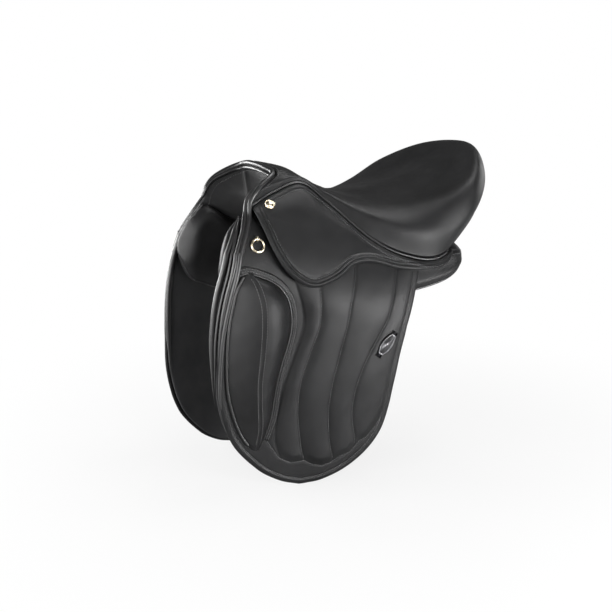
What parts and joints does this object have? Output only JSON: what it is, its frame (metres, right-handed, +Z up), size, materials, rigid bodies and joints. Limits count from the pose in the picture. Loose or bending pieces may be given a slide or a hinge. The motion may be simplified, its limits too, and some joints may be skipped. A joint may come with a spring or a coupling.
{
  "type": "dressage saddle",
  "caption": "Black leather dressage saddle with a deep seat, long quilted flaps, outside knee blocks, lifting skirts and girth billets on a spring tree.",
  "frame": {"origin": "on the bearing line of the panels, in the plane of symmetry, straight below the lowest point of the seat", "axes": "+Z up, -Y towards the pommel, +X towards the near side, the horse's left"},
  "size_m": [0.3204, 0.5282, 0.4974],
  "materials": {
    "leather": "satin",
    "lining": "matte",
    "steel": "satin",
    "gunmetal": "satin",
    "brass": "polished",
    "wood": "matte",
    "foam": "matte",
    "webbing": "matte"
  },
  "bodies": {
    "saddle": {"tree_rails": "wood", "tree_head": "wood", "head_plate": "steel", "head_rivets": "steel", "spring_left": "steel", "spring_right": "steel", "seat_webbing": "webbing", "seat_foam": "foam", "seat_cover": "leather", "pommel_piping": "leather", "seat_welt_left": "leather", "seat_welt_right": "leather", "cantle_facing": "leather", "gullet_lining": "lining", "panel_left": "leather", "panel_right": "leather", "stirrup_bar_left": "steel", "stirrup_bar_right": "steel", "bar_rivets_left": "steel", "bar_rivets_right": "steel", "girth_webs_left": "webbing", "girth_webs_right": "webbing", "sweat_flap_left": "leather", "sweat_flap_right": "leather", "flap_top_left": "leather", "flap_top_right": "leather", "skirt_top_left": "leather", "skirt_top_right": "leather", "skirt_stud_left": "brass", "skirt_stud_right": "brass", "dee_staple_left": "brass", "dee_staple_right": "brass"},
    "flap_left": {"flap_left": "leather", "knee_block_left": "leather", "knee_welt_left": "leather", "plaque_left": "gunmetal"},
    "skirt_left": {"skirt_left": "leather"},
    "billet_front_left": {"billet_front_left": "leather"},
    "billet_rear_left": {"billet_rear_left": "leather"},
    "dee_ring_left": {"dee_ring_left": "brass"},
    "bar_catch_left": {"bar_catch_left": "steel"},
    "flap_right": {"flap_right": "leather", "knee_block_right": "leather", "knee_welt_right": "leather", "plaque_right": "gunmetal"},
    "skirt_right": {"skirt_right": "leather"},
    "billet_front_right": {"billet_front_right": "leather"},
    "billet_rear_right": {"billet_rear_right": "leather"},
    "dee_ring_right": {"dee_ring_right": "brass"},
    "bar_catch_right": {"bar_catch_right": "steel"}
  },
  "joints": [
    {"name": "flap_left_lift", "type": "hinge", "parent": "saddle", "child": "flap_left", "pos_m": [0.10552, -0.221, 0.054], "axis": [-0.1824, -0.886, 0.4263], "range_deg": [0, 60]},
    {"name": "skirt_left_lift", "type": "hinge", "parent": "saddle", "child": "skirt_left", "pos_m": [0.08644, -0.18833, 0.11785], "axis": [-0.233, -0.9109, 0.3406], "range_deg": [0, 60]},
    {"name": "billet_front_left_sway", "type": "hinge", "parent": "saddle", "child": "billet_front_left", "pos_m": [0.11947, -0.095, -0.07132], "axis": [0.981, -0.1922, -0.0276], "range_deg": [-6, 6]},
    {"name": "billet_rear_left_sway", "type": "hinge", "parent": "saddle", "child": "billet_rear_left", "pos_m": [0.13059, -0.035, -0.09376], "axis": [0.981, -0.1922, -0.0276], "range_deg": [-6, 6]},
    {"name": "dee_ring_left_swing", "type": "hinge", "parent": "saddle", "child": "dee_ring_left", "pos_m": [0.09928, -0.18629, 0.07618], "axis": [-0.0572, -0.9984, 0], "range_deg": [0, 75]},
    {"name": "bar_catch_left_turn", "type": "hinge", "parent": "saddle", "child": "bar_catch_left", "pos_m": [0.078, -0.077, 0.095], "axis": [1, 0, 0], "range_deg": [0, 80]},
    {"name": "flap_right_lift", "type": "hinge", "parent": "saddle", "child": "flap_right", "pos_m": [-0.10552, -0.221, 0.054], "axis": [-0.1824, 0.886, -0.4263], "range_deg": [0, 60]},
    {"name": "skirt_right_lift", "type": "hinge", "parent": "saddle", "child": "skirt_right", "pos_m": [-0.08644, -0.18833, 0.11785], "axis": [-0.233, 0.9109, -0.3406], "range_deg": [0, 60]},
    {"name": "billet_front_right_sway", "type": "hinge", "parent": "saddle", "child": "billet_front_right", "pos_m": [-0.11947, -0.095, -0.07132], "axis": [0.981, 0.1922, 0.0276], "range_deg": [-6, 6]},
    {"name": "billet_rear_right_sway", "type": "hinge", "parent": "saddle", "child": "billet_rear_right", "pos_m": [-0.13059, -0.035, -0.09376], "axis": [0.981, 0.1922, 0.0276], "range_deg": [-6, 6]},
    {"name": "dee_ring_right_swing", "type": "hinge", "parent": "saddle", "child": "dee_ring_right", "pos_m": [-0.09928, -0.18629, 0.07618], "axis": [-0.0572, 0.9984, 0], "range_deg": [0, 75]},
    {"name": "bar_catch_right_turn", "type": "hinge", "parent": "saddle", "child": "bar_catch_right", "pos_m": [-0.078, -0.077, 0.095], "axis": [1, 0, 0], "range_deg": [0, 80]}
  ]
}
